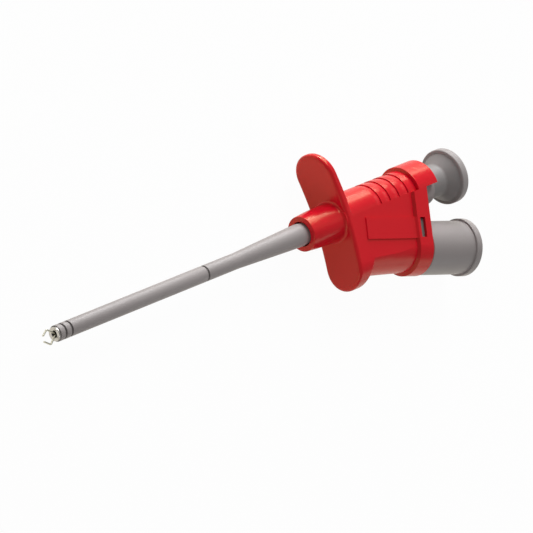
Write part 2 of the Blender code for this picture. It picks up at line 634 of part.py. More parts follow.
def contact_pieces(brass, grey, steel, main, socket):
    """Four-millimetre contact, its inner sleeve, retaining clip, leaf and rivet."""
    shoulder = BARREL_FLOOR + FIT
    clip_start = 0.5 * MM - FIT - CLIP_THICKNESS
    groove = CONTACT_RADIUS - 0.6 * MM
    pin_hole = 0.5 * MM + FIT
    outline = [(CONTACT_FRONT, pin_hole), (CONTACT_FRONT, CONTACT_RADIUS),
               (clip_start - FIT, CONTACT_RADIUS), (clip_start - FIT, groove),
               (clip_start + CLIP_THICKNESS + FIT, groove),
               (clip_start + CLIP_THICKNESS + FIT, CONTACT_RADIUS),
               (shoulder, CONTACT_RADIUS), (shoulder, CONTACT_SHOULDER),
               (shoulder + 0.7 * MM, CONTACT_SHOULDER), (shoulder + 0.7 * MM, CONTACT_RADIUS),
               (CONTACT_END, CONTACT_RADIUS), (CONTACT_END, CONTACT_BORE + 0.15 * MM),
               (CONTACT_END - 0.15 * MM, CONTACT_BORE), (3.0 * MM, CONTACT_BORE), (3.0 * MM, 0),
               (1.6 * MM, 0), (1.6 * MM, pin_hole)]
    add_object("socket_contact", turned(outline, 32), brass, socket)
    clip = [(clip_start, groove + FIT), (clip_start, LOWER_BORE - 2 * FIT),
            (clip_start + CLIP_THICKNESS, LOWER_BORE - 2 * FIT),
            (clip_start + CLIP_THICKNESS, groove + FIT)]
    add_object("contact_clip", turned(clip, 32), steel, socket)
    inner = CONTACT_RADIUS + FIT
    base = shoulder + 0.7 * MM + FIT
    sleeve = [(base, inner), (base, inner + SLEEVE_WALL),
              (SLEEVE_END - 0.1 * MM, inner + SLEEVE_WALL),
              (SLEEVE_END, inner + SLEEVE_WALL - 0.1 * MM), (SLEEVE_END, inner)]
    add_object("contact_sleeve", turned(sleeve, ROUND), grey, socket)

    back = CONTACT_FRONT - FIT - LEAF_THICKNESS / 2
    contact_y = -(CHAMBER_RADIUS - FIT) - FIT - LEAF_THICKNESS / 2
    x = leaf_station()
    route = [to_main(back, -1.9 * MM), to_main(back, 1.9 * MM), (97.6 * MM, -6.35 * MM),
             (x + 0.8 * MM, -6.25 * MM), (x - 0.5 * MM, -5.3 * MM), (x - 0.3 * MM, contact_y - 0.1 * MM),
             (x + 0.6 * MM, contact_y)]
    leaf = add_object("leaf_contact", strip(route, LEAF_THICKNESS, -LEAF_WIDTH / 2, LEAF_WIDTH / 2),
                      brass, main)
    hole = [(back - 1 * MM, 0), (back - 1 * MM, pin_hole), (back + 1 * MM, pin_hole),
            (back + 1 * MM, 0)]
    cut(leaf, "rivet_hole", turned(hole, 16), socket)
    head = back - LEAF_THICKNESS / 2 - FIT
    rivet = [(head - 0.5 * MM, 0), (head - 0.5 * MM, 0.7 * MM), (head - 0.3 * MM, 1.1 * MM),
             (head, 1.1 * MM), (head, 0.5 * MM), (1.3 * MM, 0.5 * MM), (1.3 * MM, 0)]
    add_object("leaf_rivet", turned(rivet, 16), brass, socket)


def build():
    clear_scene()
    red = material("red_moulding", (0.72, 0.035, 0.04), 0.38)
    grey = material("grey_moulding", (0.34, 0.32, 0.31), 0.42)
    dark_grey = material("grey_button", (0.30, 0.285, 0.28), 0.42)
    steel = material("spring_steel", (0.62, 0.60, 0.55), 0.28, 1.0)
    brass = material("plated_brass", (0.72, 0.56, 0.27), 0.30, 1.0)

    main = axis_empty("main_axis", location=(-(LEFT_END + RIGHT_END) / 2,
                                             -(TOP_SIDE + LOW_SIDE) / 2, LOWEST))
    socket = axis_empty("socket_axis", main, (SOCKET_STATION, -SOCKET_DROP, 0), -SOCKET_TILT)
    plunger = axis_empty("plunger_axis", main)

    housing(red, main, socket)
    insulating_tube(grey, main)
    tip_pieces(steel, main)
    jaws(steel, plunger, JAW_ROOT + FIT)
    rod_pieces(steel, brass, plunger)
    button(dark_grey, steel, plunger)
    spring_pieces(steel, brass, main)
    socket_insert(grey, main, socket)
    contact_pieces(brass, grey, steel, main, socket)


build()
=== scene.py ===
import math

import bmesh
import bpy
from mathutils import Matrix, Vector


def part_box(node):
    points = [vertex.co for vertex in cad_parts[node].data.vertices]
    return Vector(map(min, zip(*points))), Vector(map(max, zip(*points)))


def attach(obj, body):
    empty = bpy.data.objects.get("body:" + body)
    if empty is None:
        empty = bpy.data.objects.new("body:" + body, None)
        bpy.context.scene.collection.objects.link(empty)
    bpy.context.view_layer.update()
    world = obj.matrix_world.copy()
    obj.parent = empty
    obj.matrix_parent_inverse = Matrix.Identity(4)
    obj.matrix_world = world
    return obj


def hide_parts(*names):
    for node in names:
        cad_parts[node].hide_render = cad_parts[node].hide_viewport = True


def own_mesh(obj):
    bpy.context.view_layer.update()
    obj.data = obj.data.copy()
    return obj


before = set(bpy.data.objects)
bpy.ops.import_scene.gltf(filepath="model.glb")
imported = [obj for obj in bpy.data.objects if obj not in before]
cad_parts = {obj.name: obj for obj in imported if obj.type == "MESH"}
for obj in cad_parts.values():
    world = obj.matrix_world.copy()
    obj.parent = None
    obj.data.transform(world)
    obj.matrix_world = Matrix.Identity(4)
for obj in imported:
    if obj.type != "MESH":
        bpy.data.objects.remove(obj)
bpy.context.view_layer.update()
scene = bpy.context.scene
scene.view_settings.view_transform = "Standard"

# ---------------------------------------------------------------------------------------------
# Camera. A long lens looks down at the probe from in front of its jaws and above the flank that
# shows, rolled so that the tube climbs to the right. Place and lens are fitted numbers, given in
# millimetres from the tube's mouth along the main axis, as the pieces below are drawn.

MM = 0.001
FERRULE_STANDS_OUT = 0.42
IMAGE_SIDE = 533
FOCAL_PIXELS = 6733.763
SENSOR_WIDTH = 36

camera_data = bpy.data.cameras.new("studio_camera")
camera_data.lens = FOCAL_PIXELS / IMAGE_SIDE * SENSOR_WIDTH
camera_data.sensor_width = SENSOR_WIDTH
camera_data.clip_end = 20
camera = bpy.data.objects.new("studio_camera", camera_data)
scene.collection.objects.link(camera)
scene.camera = camera

main_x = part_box("tip_ferrule")[0][0] + FERRULE_STANDS_OUT * MM
rod_low, rod_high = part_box("push_rod")
axis_y = (rod_low[1] + rod_high[1]) / 2
axis_z = (rod_low[2] + rod_high[2]) / 2
MAIN_AXIS = Matrix.Translation((main_x, axis_y, axis_z)) @ Matrix.Scale(MM, 4)

image_right = Vector((0.6651035, -0.304431, 0.681879))
image_up = Vector((0.2710174, 0.9492741, 0.1594621))
image_back = Vector((-0.6958354, 0.0787423, 0.7138717))
eye = MAIN_AXIS @ Vector((-951.447, 111.363, 1042.806))
camera.matrix_world = Matrix((
    (image_right.x, image_up.x, image_back.x, eye.x),
    (image_right.y, image_up.y, image_back.y, eye.y),
    (image_right.z, image_up.z, image_back.z, eye.z),
    (0, 0, 0, 1)))

# ---------------------------------------------------------------------------------------------
# Studio. Pale paper that shows white to the camera with a trace of the probe's shadow, and ten
# plain soft lamps: a low key strip from behind the button, others above it that fall off
# upwards, and weak fills all round. What gloss mirrors of the paper is a little warm.

GRIP = Vector((0.01, 0.0, 0.006))
LAMP_DISTANCE = 0.8


def soft_lamp(name, azimuth, elevation, size, power):
    """A rectangular lamp that faces the grip, from a direction given in degrees."""
    data = bpy.data.lights.new(name, "AREA")
    data.shape = "RECTANGLE"
    data.size, data.size_y = size
    data.energy = power
    lamp = bpy.data.objects.new(name, data)
    scene.collection.objects.link(lamp)
    turn, climb = math.radians(azimuth), math.radians(elevation)
    away = Vector((math.cos(turn), math.sin(turn), 0)) * math.cos(climb)
    away = away + Vector((0, 0, math.sin(climb)))
    lamp.location = GRIP + away * LAMP_DISTANCE
    lamp.rotation_euler = away.to_track_quat("Z", "Y").to_euler()


soft_lamp("key_strip", 58, 6, (0.33, 0.16), 2.44)
soft_lamp("key_spread", 54, 14, (0.45, 0.15), 0.84)
soft_lamp("upper_spread", 59, 24, (0.45, 0.20), 0.88)
soft_lamp("high_lamp", 60, 40, (0.28, 0.28), 1.95)
soft_lamp("high_side", 88, 40, (0.45, 0.25), 0.40)
soft_lamp("top_lamp", 15, 58, (0.40, 0.40), 0.13)
soft_lamp("back_fill", 9, 12, (0.45, 0.30), 0.48)
soft_lamp("low_fill", 308, 12, (0.80, 0.30), 0.53)
soft_lamp("front_fill", 218, 12, (0.50, 0.30), 0.54)
soft_lamp("front_low", 198, 6, (0.30, 0.12), 0.12)


class Value:
    """A socket whose value adds, subtracts and multiplies as a plain number does."""

    def __init__(self, nodes, socket):
        self.nodes = nodes
        self.socket = socket

    def maths(self, operation, first, second):
        return self.nodes.node("ShaderNodeMath", {"operation": operation}, {0: first, 1: second})

    def __add__(self, other):
        return self.maths("ADD", self, other)

    def __radd__(self, other):
        return self.maths("ADD", other, self)

    def __sub__(self, other):
        return self.maths("SUBTRACT", self, other)

    def __rsub__(self, other):
        return self.maths("SUBTRACT", other, self)

    def __mul__(self, other):
        return self.maths("MULTIPLY", self, other)

    def __rmul__(self, other):
        return self.maths("MULTIPLY", other, self)

    def ramp(self, low, high):
        """0 up to low, 1 from high on, and an even climb between them."""
        return self.nodes.node("ShaderNodeMapRange", None,
                               {"Value": self, "From Min": low, "From Max": high})


class Nodes:
    """A node tree, with one way to add a node: its type, its settings, then its sockets."""

    def __init__(self, tree):
        self.tree = tree

    def node(self, kind, settings=None, sockets=None, output=0):
        made = self.tree.nodes.new(kind)
        for key, value in (settings or {}).items():
            setattr(made, key, value)
        for key, value in (sockets or {}).items():
            self.feed(made.inputs[key], value)
        return Value(self, made.outputs[output])

    def feed(self, socket, value):
        """Link a value to a socket, or set a number, vector or colour on it."""
        if isinstance(value, Value):
            self.tree.links.new(value.socket, socket)
        elif socket.type == "RGBA":
            socket.default_value = (*value, 1.0)
        else:
            socket.default_value = value


class Finish(Nodes):
    """A material: a Principled shader with the nodes that vary it."""

    def __init__(self, name, constants):
        self.material = bpy.data.materials.new(name)
        self.material.use_nodes = True
        super().__init__(self.material.node_tree)
        self.shader = self.tree.nodes["Principled BSDF"]
        self.feeds(constants)

    def feeds(self, sockets):
        """Feed sockets of the shader, given by their names."""
        for name, value in sockets.items():
            self.feed(self.shader.inputs[name], value)

    def blend(self, share, first, second):
        """The first colour where share is 0, the second where it is 1."""
        return self.node("ShaderNodeMix", {"data_type": "RGBA"},
                         {"Factor": share, 6: first, 7: second}, output=2)


def seen(nodes):
    """1 for what the camera sees, straight or through something clear, and 0 for the rest."""
    return nodes.node("ShaderNodeMath", {"operation": "MAXIMUM"},
                      {0: nodes.node("ShaderNodeLightPath", output="Is Camera Ray"),
                       1: nodes.node("ShaderNodeLightPath", output="Is Transmission Ray")})


def object_from(name, bm):
    """Put a form into the scene as an object."""
    mesh = bpy.data.meshes.new(name)
    bm.to_mesh(mesh)
    bm.free()
    thing = bpy.data.objects.new(name, mesh)
    scene.collection.objects.link(thing)
    return thing


world = bpy.data.worlds.new("studio_air")
scene.world = world
world.use_nodes = True
air = Nodes(world.node_tree)
fill = air.tree.nodes["Background"]
air.feed(fill.inputs["Color"], (1.0, 0.99, 0.98))
air.feed(fill.inputs["Strength"], 0.245)
white = air.node("ShaderNodeBackground", None, {"Color": (1.0, 1.0, 1.0), "Strength": 1.0})
air.feed(air.tree.nodes["World Output"].inputs["Surface"], air.node(
    "ShaderNodeMixShader", None, {0: seen(air), 1: Value(air, fill.outputs[0]), 2: white}))

FLOOR_HALF_SIDE = 3.0
SEEN_AS_WHITE = 0.97
MIRRORED_AS_WARM = 0.68

sweep = bmesh.new()
bmesh.ops.create_grid(sweep, x_segments=8, y_segments=8, size=FLOOR_HALF_SIDE)
floor = object_from("studio_floor", sweep)

paper = Finish("pale_paper", {"Base Color": (0.86, 0.86, 0.86), "Roughness": 0.9})
glow = paper.node("ShaderNodeEmission", None, {"Color": (1.0, 1.0, 1.0), "Strength": 1.0})
warm_glow = paper.node("ShaderNodeEmission", None, {"Color": (1.0, 0.95, 0.82), "Strength": 1.0})
mirrored = paper.node("ShaderNodeLightPath", output="Is Glossy Ray") * MIRRORED_AS_WARM
plain = paper.node("ShaderNodeMixShader", None,
                   {0: mirrored, 1: Value(paper, paper.shader.outputs[0]), 2: warm_glow})
paper.feed(paper.tree.nodes["Material Output"].inputs["Surface"], paper.node(
    "ShaderNodeMixShader", None, {0: seen(paper) * SEEN_AS_WHITE, 1: plain, 2: glow}))
floor.data.materials.append(paper.material)

# ---------------------------------------------------------------------------------------------
# Insulating tube. Extruded grey plastic, swelling to a cone where it enters the nose, with ring
# grooves turned near the mouth and one further up. Their floors are painted dark, for a little
# old dirt and for painted shade from the groove walls.

ON_AXIS = 1e-6


def eased(corners, steps=5):
    """Turn the rounding of each corner, given as (x, y, rounding), into a short arc."""
    points = []
    for i, (x, y, rounding) in enumerate(corners):
        here = Vector((x, y))
        if rounding == 0:
            points.append(here)
            continue
        back = (Vector(corners[i - 1][:2]) - here).normalized()
        ahead = (Vector(corners[(i + 1) % len(corners)][:2]) - here).normalized()
        half = back.angle(ahead) / 2
        centre = here + (back + ahead).normalized() * (rounding / math.sin(half))
        start = here + back * (rounding / math.tan(half)) - centre
        end = here + ahead * (rounding / math.tan(half)) - centre
        whole = start.angle(end)
        for k in range(steps + 1):
            share = k / steps
            first = math.sin((1 - share) * whole) / math.sin(whole)
            second = math.sin(share * whole) / math.sin(whole)
            points.append(centre + start * first + end * second)
    return [(point.x, point.y) for point in points]


def turned(outline, sides=96):
    """A lathe form: spin a closed outline of (x, radius) points about the x axis."""
    bm = bmesh.new()
    step = math.tau / sides
    rows = []
    for x, radius in outline:
        turns = range(sides) if radius > ON_AXIS else range(1)
        rows.append([bm.verts.new((x, radius * math.sin(k * step), radius * math.cos(k * step)))
                     for k in turns])
    for first, second in zip(rows, rows[1:] + rows[:1]):
        for k in range(sides):
            j = (k + 1) % sides
            corners = list(dict.fromkeys([first[k % len(first)], first[j % len(first)],
                                          second[j % len(second)], second[k % len(second)]]))
            if len(corners) > 2:
                bm.faces.new(corners)
    return bm


def finished(name, bm, place, finish, body, node, crease=32):
    """Put a form in its place in the frame, give it its finish, and let it stand for its node."""
    bmesh.ops.transform(bm, matrix=place, verts=bm.verts)
    bmesh.ops.recalc_face_normals(bm, faces=bm.faces)
    thing = object_from(name, bm)
    thing.data.materials.append(finish.material)
    thing.data.shade_smooth()
    thing.data.set_sharp_from_angle(angle=math.radians(crease))
    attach(thing, body)
    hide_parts(node)
    return thing


def noise(finish, where, scale, detail):
    return finish.node("ShaderNodeTexNoise", None,
                       {"Vector": where, "Scale": scale, "Detail": detail})


def moulded_plastic(name, colour, shade, roughness, constants=None):
    """Moulded plastic: slow drifts of shade and gloss, and the fine grain of the tool. Its tint
    is kept for pieces that are darker or paler in places."""
    made = Finish(name, {"IOR": 1.5, **(constants or {})})
    where = made.node("ShaderNodeTexCoord", output="Object")
    drift = noise(made, where, 120.0, 3.0)
    fleck = noise(made, where, 2600.0, 2.0)
    grain = noise(made, where, 7000.0, 2.0)
    swell = noise(made, where, 330.0, 1.0)
    relief = made.node("ShaderNodeBump", None,
                       {"Strength": 0.035, "Distance": 0.03 * MM, "Height": grain + swell * 0.4})
    made.tint = made.blend(drift * 0.5 + fleck * 0.25, colour, shade)
    made.feeds({"Base Color": made.tint, "Normal": relief,
                "Roughness": drift * 0.10 + fleck * 0.06 + (roughness - 0.08)})
    return made


def from_main_axis(finish):
    """How far a place on the surface is from the main axis, in metres."""
    across = finish.node("ShaderNodeVectorMath", {"operation": "MULTIPLY_ADD"},
                         {0: finish.node("ShaderNodeTexCoord", output="Object"),
                          1: (0, 1, 1), 2: (0, -axis_y, -axis_z)})
    return finish.node("ShaderNodeVectorMath", {"operation": "LENGTH"}, {0: across},
                       output="Value")


# Groove floors and bore, nearer the axis than 1.58 mm, are painted dark: partly old dirt, partly
# painted shade from the groove walls.
GROOVE_DIRT_AND_SHADE = (0.18, 0.165, 0.162)
tube_plastic = moulded_plastic("tube_plastic", (0.41, 0.374, 0.370), (0.38, 0.346, 0.342), 0.46)
out_of_grooves = from_main_axis(tube_plastic).ramp(1.58 * MM, 1.77 * MM)
tube_plastic.feeds({"Base Color": tube_plastic.blend(out_of_grooves, GROOVE_DIRT_AND_SHADE, tube_plastic.tint)})

TUBE_RADIUS = 1.80
TUBE_BORE = 1.42
tube_corners = [(0.08, TUBE_BORE, 0), (0.08, TUBE_RADIUS, 0.06)]
for start, floor_start, floor_end, end, floor_radius in (
        (1.33, 1.39, 1.89, 1.93, 1.52), (3.22, 3.28, 3.80, 3.84, 1.52),
        (46.04, 46.10, 46.56, 46.62, 1.54)):
    tube_corners += [(start, TUBE_RADIUS, 0.05), (floor_start, floor_radius, 0.05),
                     (floor_end, floor_radius, 0.05), (end, TUBE_RADIUS, 0.05)]
tube_corners += [(56.8, TUBE_RADIUS, 8.0), (73.5, 2.47, 6.0), (77.3, 2.58, 0.5),
                 (78.1, 2.45, 0.3), (89.2, 2.42, 0), (89.2, TUBE_BORE, 0)]
finished("insulating_tube_fine", turned(eased(tube_corners, 4)), MAIN_AXIS, tube_plastic, "probe",
         "insulating_tube")

# ---------------------------------------------------------------------------------------------
# Ferrule. A turned, nickel-plated plug in the tube's mouth with a short chamfer round its face.
# The jaws come out of its hole, which is dark inside.


def plated_metal(name, colour, shade, roughness):
    """Plated or ground metal, with the fine lines of its tool and a little tarnish."""
    made = Finish(name, {"Metallic": 1.0})
    where = made.node("ShaderNodeTexCoord", output="Object")
    lines = noise(made, where, 2500.0, 3.0)
    cloud = noise(made, where, 500.0, 2.0)
    relief = made.node("ShaderNodeBump", None,
                       {"Strength": 0.03, "Distance": 0.02 * MM, "Height": lines})
    made.feeds({"Base Color": made.blend(cloud, colour, shade), "Normal": relief,
                "Roughness": lines * 0.15 + (roughness - 0.05)})
    return made


nickel = plated_metal("nickel_plate", (0.72, 0.70, 0.68), (0.60, 0.58, 0.56), 0.32)

HOLE_RADIUS = 0.76
ferrule_outline = eased([
    (-0.30, HOLE_RADIUS, 0.04), (-0.41, 0.84, 0.05), (-0.41, 1.52, 0.12), (-0.24, 1.80, 0.10),
    (-0.24, 1.58, 0), (0.0, 1.58, 0), (0.0, 1.38, 0), (4.6, 1.38, 0), (4.6, HOLE_RADIUS, 0)], 4)
finished("ferrule_fine", turned(ferrule_outline, 72), MAIN_AXIS, nickel, "probe", "tip_ferrule")

# ---------------------------------------------------------------------------------------------
# Jaws. Two strips of bright spring steel, each bent outwards at the mouth and hooked in again at
# its end, so that the pair closes like a pincer on a component's leg.

JAW_BEND = 0.22
JAW_THICKNESS = 0.28
JAW_WIDTH = 0.46
JAW_EDGE = 0.07

spring_steel = plated_metal("spring_steel_bright", (0.80, 0.79, 0.68), (0.68, 0.67, 0.57), 0.34)


def join_rows(bm, rows):
    """Join rows of vertices, each a closed loop of the same length, with quads."""
    for first, second in zip(rows, rows[1:]):
        for k in range(len(first)):
            j = (k + 1) % len(first)
            bm.faces.new((first[k], first[j], second[j], second[k]))


def bent_strip(route):
    """A flat strip with rounded edges along a route in the x-y plane, eased at each bend."""
    ends = (0, len(route) - 1)
    path = [Vector(point) for point in eased(
        [(x, y, 0 if i in ends else JAW_BEND) for i, (x, y) in enumerate(route)])]
    across_flat, across_edge = JAW_THICKNESS / 2 - JAW_EDGE, JAW_WIDTH / 2 - JAW_EDGE
    section = []
    for sign_t, sign_w, first in ((1, 1, 0), (-1, 1, 90), (-1, -1, 180), (1, -1, 270)):
        for k in range(4):
            turn = math.radians(first + 30 * k)
            section.append((sign_t * across_flat + JAW_EDGE * math.cos(turn),
                            sign_w * across_edge + JAW_EDGE * math.sin(turn)))
    bm = bmesh.new()
    rows = []
    for i, here in enumerate(path):
        into = (here - path[i - 1]).normalized() if i else (path[1] - here).normalized()
        out = (path[i + 1] - here).normalized() if i < len(path) - 1 else into
        along = (into + out).normalized()
        across = Vector((-along.y, along.x))
        rows.append([bm.verts.new((here.x + across.x * a, here.y + across.y * a, z))
                     for a, z in section])
    join_rows(bm, rows)
    bm.faces.new(rows[0])
    bm.faces.new(rows[-1])
    return bm


for node, body, jaw_route in (
        ("jaw_upper", "upper_jaw", [(5.3, 0.22), (-0.2, 0.22), (-2.13, 1.51), (-3.58, 0.53)]),
        ("jaw_lower", "lower_jaw", [(5.3, -0.22), (-0.2, -0.22), (-2.21, -1.75), (-3.80, -0.66)])):
    finished(f"{node}_fine", bent_strip(jaw_route), MAIN_AXIS, spring_steel, body, node,
             40)

# ---------------------------------------------------------------------------------------------
# Housing. One red moulding in a satin plastic: nose, oval finger guard, ridged grip with flat
# flanks, a sleeve round the socket's axis, and the strap and cap that close it behind.

SOCKET_TILT = math.radians(15)
SOCKET_X, SOCKET_Y = 100.0, -9.58
SOCKET_AXIS = (MAIN_AXIS @ Matrix.Translation((SOCKET_X, SOCKET_Y, 0))
               @ Matrix.Rotation(-SOCKET_TILT, 4, "Z"))
TO_SOCKET = MAIN_AXIS.inverted() @ SOCKET_AXIS
IDENTITY = Matrix.Identity(4)
SEAM = 0.01


def quarter_turn(steps, short_by=0.0):
    """Even angles from 0 to a right angle, or to a little short of it."""
    return [(math.pi / 2 - short_by) * i / steps for i in range(steps + 1)]


def both_halves(right):
    """A closed loop of (y, z) points, from its right half and the mirror of that."""
    return right + [(y, -z) for y, z in reversed(right)]


def skin(loops):
    """Skin equal loops of points and close both ends with strips across them."""
    bm = bmesh.new()
    rows = [[bm.verts.new(point) for point in loop] for loop in loops]
    join_rows(bm, rows)
    count = len(rows[0])
    for row in (rows[0], rows[-1]):
        for i in range(count // 2 - 1):
            bm.faces.new((row[i], row[i + 1], row[count - 2 - i], row[count - 1 - i]))
    bmesh.ops.remove_doubles(bm, verts=bm.verts, dist=1e-4)
    return bm


def slab(low, high):
    """A square block between two corners."""
    bm = bmesh.new()
    bmesh.ops.create_cube(bm, size=1.0)
    bmesh.ops.scale(bm, verts=bm.verts, vec=[b - a for a, b in zip(low, high)])
    bmesh.ops.translate(bm, verts=bm.verts, vec=[(a + b) / 2 for a, b in zip(low, high)])
    return bm


def worked(base, *steps, base_place=IDENTITY):
    """Join forms to a base form or cut them out of it, one after another, then weld the edges."""
    helpers = []

    def loose(bm, place):
        bmesh.ops.transform(bm, matrix=place, verts=bm.verts)
        bmesh.ops.recalc_face_normals(bm, faces=bm.faces)
        helpers.append(object_from("shaping_form", bm))
        return helpers[-1]

    target = loose(base, base_place)
    for operation, form, place in steps:
        step = target.modifiers.new(operation, "BOOLEAN")
        step.operation = operation
        step.solver = "EXACT"
        step.object = loose(form, place)
    bpy.context.view_layer.update()
    shaped = target.evaluated_get(bpy.context.evaluated_depsgraph_get()).to_mesh()
    bm = bmesh.new()
    bm.from_mesh(shaped)
    bmesh.ops.remove_doubles(bm, verts=bm.verts, dist=5e-4)
    for thing in helpers:
        mesh = thing.data
        bpy.data.objects.remove(thing)
        bpy.data.meshes.remove(mesh)
    return bm


GUARD_HALF_WIDTH = 5.40
GUARD_TOP, GUARD_BOTTOM = 15.87, -15.73
FRONT_EDGE, BACK_EDGE = 0.85, 0.3


def guard_front(y):
    """Where the guard's gently bowed front face stands at a height y."""
    return 87.9 - 0.0083 * y ** 2 + 7e-6 * y ** 4


def guard_back(y):
    """Its back: an even thickness above, and a slope into the socket's sleeve below."""
    upper = guard_front(y) + 1.8
    lower = 91.9 + 0.56 * (y + 11.09)
    part = min(max(-y / 5.35, 0.0), 1.0)
    return upper + (lower - upper) * part


def oval(inset):
    """The guard's outline in y and z, drawn in by inset."""
    radius = GUARD_HALF_WIDTH - inset
    top, bottom = GUARD_TOP - GUARD_HALF_WIDTH, GUARD_BOTTOM + GUARD_HALF_WIDTH
    upper = [(top + radius * math.cos(turn), max(radius * math.sin(turn), SEAM))
             for turn in quarter_turn(20)]
    side = [(top + (bottom - top) * i / 24, radius) for i in range(1, 24)]
    lower = [(bottom - radius * math.sin(turn), max(radius * math.cos(turn), SEAM))
             for turn in quarter_turn(20)]
    return both_halves(upper + side + lower)


guard_loops = []
for turn in quarter_turn(8):
    guard_loops.append([(guard_front(y) + FRONT_EDGE * (1 - math.cos(turn)), y, z)
                        for y, z in oval(FRONT_EDGE * (1 - math.sin(turn)))])
for turn in quarter_turn(8):
    guard_loops.append([(guard_back(y) - BACK_EDGE + BACK_EDGE * math.sin(turn), y, z)
                        for y, z in oval(BACK_EDGE * (1 - math.cos(turn)))])

FLANK = 5.395
RIDGES = (99.5, 102.5, 105.5, 108.5)
trunk_stations = [(88.6, 0.0), (92.0, 0.0)]
for ridge in RIDGES:
    trunk_stations += [(ridge - 1.5, 0.0), (ridge - 1.4, 0.012), (ridge - 0.05, 0.215),
                       (ridge, 0.22), (ridge, 0.0)]
trunk_stations += [(113.0, 0.0), (117.3, 0.0)]

trunk_loops = []
for x, depth in trunk_stations:
    along = (x - SOCKET_X) / math.cos(SOCKET_TILT)
    middle = SOCKET_Y - math.tan(SOCKET_TILT) * (x - SOCKET_X)
    sleeve = max(5.64 - 0.047 * along, FLANK + 0.02)
    radius = FLANK - depth
    brink = math.pi / 2 - 0.036
    right = [(radius * math.cos(turn), max(radius * math.sin(turn), SEAM))
             for turn in quarter_turn(32, 0.04)]
    right += [(FLANK * math.cos(brink), FLANK * math.sin(brink)), (0.0, FLANK)]
    for turn in quarter_turn(32):
        z = FLANK * math.cos(turn)
        y = middle - math.sqrt(sleeve * sleeve - z * z) / math.cos(SOCKET_TILT)
        right.append((y, max(z, SEAM)))
    trunk_loops.append([(x, y, z) for y, z in both_halves(right)])

STRAP_RADIUS = 6.20
STRAP_END = 10.75
strap_top = (-SOCKET_Y + STRAP_END * math.sin(SOCKET_TILT)) / math.cos(SOCKET_TILT) + 1.0
strap_loops = []
for t, radius in eased([(6.22, 5.35, 0), (6.64, STRAP_RADIUS, 0.12),
                        (STRAP_END, STRAP_RADIUS, 0.16), (STRAP_END, 5.9, 0)], 8):
    right = [(strap_top, radius)]
    for turn in quarter_turn(32):
        right.append((-radius * math.sin(turn), max(radius * math.cos(turn), SEAM)))
    strap_loops.append([(t, v, z) for v, z in both_halves(right)])

nose = turned(eased([(78.1, 0, 0), (78.1, 3.98, 0.18), (81.0, 4.22, 12.0), (84.5, 4.39, 16.0),
                     (87.75, 4.5, 0.65), (87.75, 5.16, 0), (88.9, 5.16, 0), (88.9, 0, 0)], 8))
cap = turned(eased([(111.0, 0, 0), (111.0, 5.3, 0), (111.18, STRAP_RADIUS, 0.1),
                    (117.47, STRAP_RADIUS, 0.15), (117.47, 0, 0)], 8))
cap_under = slab((100, -9, -9), (125, 0.12, 9))
strap_over = slab((80, 0.12, -9), (140, 40, 9))
trunk_end = slab((9.5, -40, -40), (60, 40, 40))

bore = turned([(77, 0), (77, 2.80), (80.5, 2.80), (80.5, 2.74), (89, 2.74), (89, 4.0),
               (97.2, 4.0), (97.2, 4.5), (111.0, 4.5), (111.0, 4.68), (119, 4.68), (119, 0)])
well = turned([(-6.5, 0), (-6.5, 4.3), (6.6, 4.3), (6.6, 5.6), (12, 5.6), (12, 0)])
web_pocket = slab((6.6, 0, -5.0), (12, 9.8, 5.0))
windows = slab((7.42, 1.63, -7), (8.93, 6.05, 7))

trunk = worked(skin(trunk_loops), ("DIFFERENCE", trunk_end, TO_SOCKET))
strap = worked(skin(strap_loops), ("DIFFERENCE", strap_over, IDENTITY), base_place=TO_SOCKET)
cap = worked(cap, ("DIFFERENCE", cap_under, IDENTITY))

PLATE_LOW, PLATE_HIGH = 1.43, 6.20
plate_profile = eased([(-8.8, 4.9, 0), (-8.8, 5.65, 0.08), (6.12, 5.65, 0.5), (6.62, 6.17, 0.1),
                       (7.3, 6.18, 0), (7.3, 4.9, 0)], 4)
plates = []
for side in (-1, 1):
    plate = bmesh.new()
    rows = [[plate.verts.new((t, v, side * z)) for t, z in plate_profile]
            for v in (PLATE_LOW, PLATE_HIGH)]
    join_rows(plate, rows)
    plate.faces.new(rows[0])
    plate.faces.new(rows[1])
    plates.append(("UNION", plate, TO_SOCKET))

shell = worked(nose, ("UNION", skin(guard_loops), IDENTITY), ("UNION", trunk, IDENTITY),
               ("UNION", strap, IDENTITY), ("UNION", cap, IDENTITY), *plates,
               ("DIFFERENCE", bore, IDENTITY), ("DIFFERENCE", well, TO_SOCKET),
               ("DIFFERENCE", web_pocket, TO_SOCKET), ("DIFFERENCE", windows, TO_SOCKET))


def x_part(finish, coordinate):
    """The part along the main axis of a place or of a face's direction."""
    return finish.node("ShaderNodeSeparateXYZ", None,
                       {0: finish.node("ShaderNodeTexCoord", output=coordinate)}, output="X")


def evenly_shaded(thing):
    """Let wide faces set the shading, so that they stay flat beside narrow ones."""
    even = thing.modifiers.new("even_shading", "WEIGHTED_NORMAL")
    even.keep_sharp = True


# Painted shade: faces from the grip's ridges back that look forward, the ridges' small steps, the
# strap's step and the cap's front, are painted a darker red.
STEP_PAINTED_SHADE_RED = (0.62, 0.001, 0.020)
red_plastic = moulded_plastic("red_plastic", (0.80, 0.0052, 0.025), (0.76, 0.0045, 0.022), 0.22,
                              {"Specular Tint": (1.0, 0.90, 0.42)})
faces_forward = x_part(red_plastic, "Normal").ramp(-0.55, -0.85)
behind_grip = x_part(red_plastic, "Object").ramp(main_x + 98 * MM, main_x + 100 * MM)
red_plastic.feeds({"Base Color": red_plastic.blend(faces_forward * behind_grip,
                                                   red_plastic.tint, STEP_PAINTED_SHADE_RED)})
evenly_shaded(finished("housing_fine", shell, MAIN_AXIS, red_plastic, "probe", "housing",
                       13))

# ---------------------------------------------------------------------------------------------
# Socket moulding. Grey plastic, pushed into the housing from behind: a shrouded barrel with a
# thin collar, a web that latches in the strap's windows, and the guide round the button's stem.

